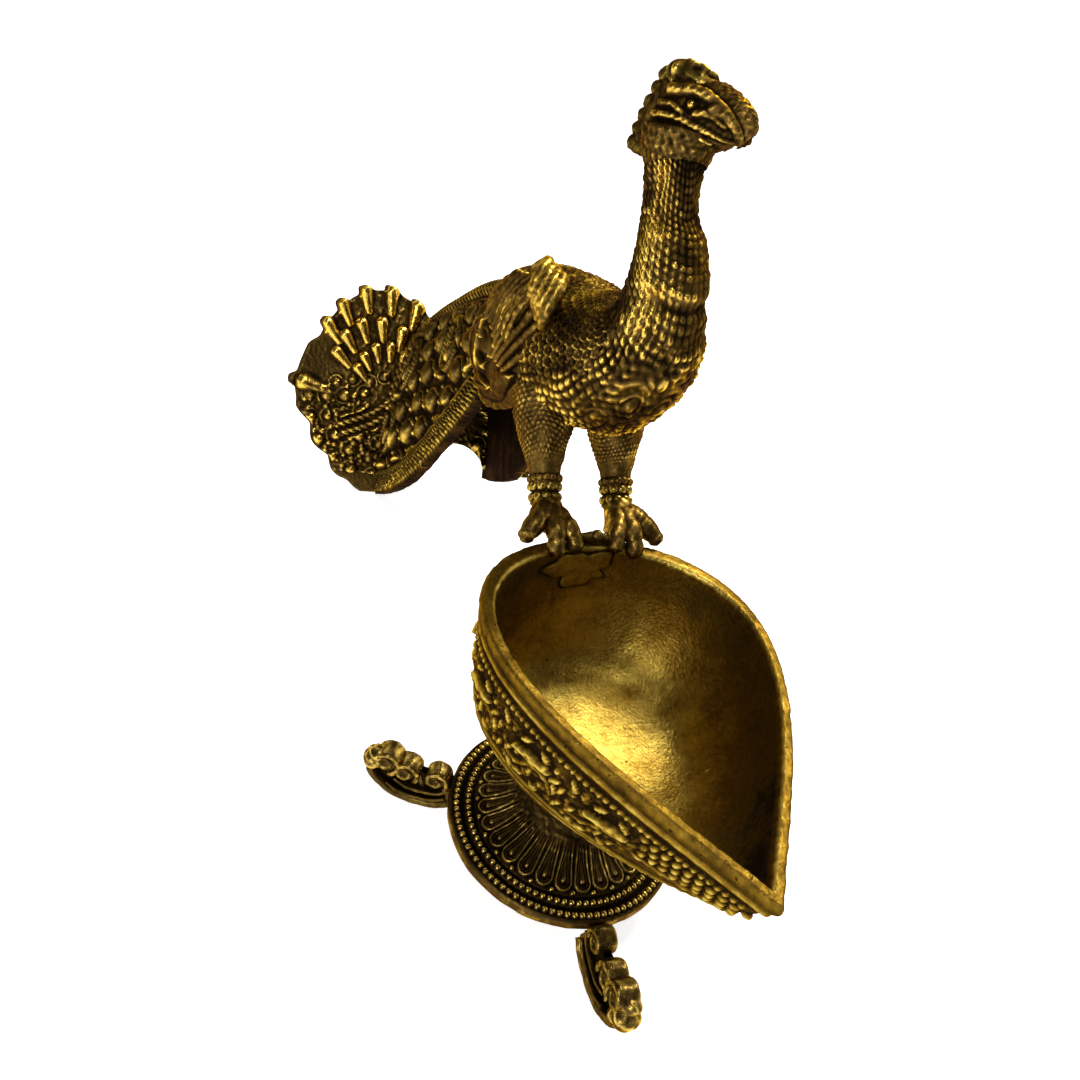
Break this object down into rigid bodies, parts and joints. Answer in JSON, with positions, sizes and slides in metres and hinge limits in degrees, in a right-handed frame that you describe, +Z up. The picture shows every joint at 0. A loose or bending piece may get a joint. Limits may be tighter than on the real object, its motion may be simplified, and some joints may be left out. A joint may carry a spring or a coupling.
{
  "type": "oil lamp",
  "caption": "Cast brass oil lamp: a leaf-shaped bowl on a footed pedestal, with a long-tailed peacock standing on the back rim.",
  "frame": {"origin": "middle of the footprint, on the table the lamp stands on", "axes": "+X from the tail towards the bowl's spout, +Y to the bird's left, +Z up"},
  "size_m": [0.1698, 0.0712, 0.1189],
  "materials": {
    "cast_brass": "antique satin: dark patina in the recesses, rubbed gold on the relief",
    "bowl_brass": "satin, lightly grained, with dark specks inside and patina outside",
    "base_brass": "satin, warm, dark patina between the petals and beads",
    "foot_brass": "antique, mostly dark, worn gold on the curls",
    "stud_brass": "plain machined brass",
    "tail_brass": "antique, deep dark recesses, gold bead tips",
    "relief_brass": "rubbed gold on raised beads over dark patina"
  },
  "bodies": {
    "stand": {"base_plate": "base_brass", "front_foot": "foot_brass", "left_rear_foot": "foot_brass", "right_rear_foot": "foot_brass"},
    "screw": {"bowl_stud": "stud_brass"},
    "lamp": {"oil_bowl": "bowl_brass", "braze_pool": "bowl_brass", "left_claw_foot": "cast_brass", "right_claw_foot": "cast_brass", "claw_link": "cast_brass", "left_anklet": "cast_brass", "right_anklet": "cast_brass", "left_leg": "cast_brass", "right_leg": "cast_brass", "peacock_body": "cast_brass", "peacock_head": "cast_brass", "head_comb": "relief_brass", "nape_crest": "relief_brass", "left_wing": "cast_brass", "right_wing": "cast_brass", "tail_train": "tail_brass", "tail_fan": "tail_brass", "ridge_ropes": "relief_brass", "edge_ropes": "relief_brass"}
  },
  "joints": [
    {"name": "screw_lift", "type": "slide", "parent": "stand", "child": "screw", "axis": [0, 0, 1], "range_m": [0, 0.0061]},
    {"name": "bowl_turn", "type": "hinge", "parent": "screw", "child": "lamp", "pos_m": [0.04234, 0, 0.022], "axis": [0, 0, 1], "range_deg": [0, 1440]}
  ],
  "couplings": [
    {"joint": "screw_lift", "follows": "bowl_turn", "m_per_rad": 0.00023873}
  ]
}
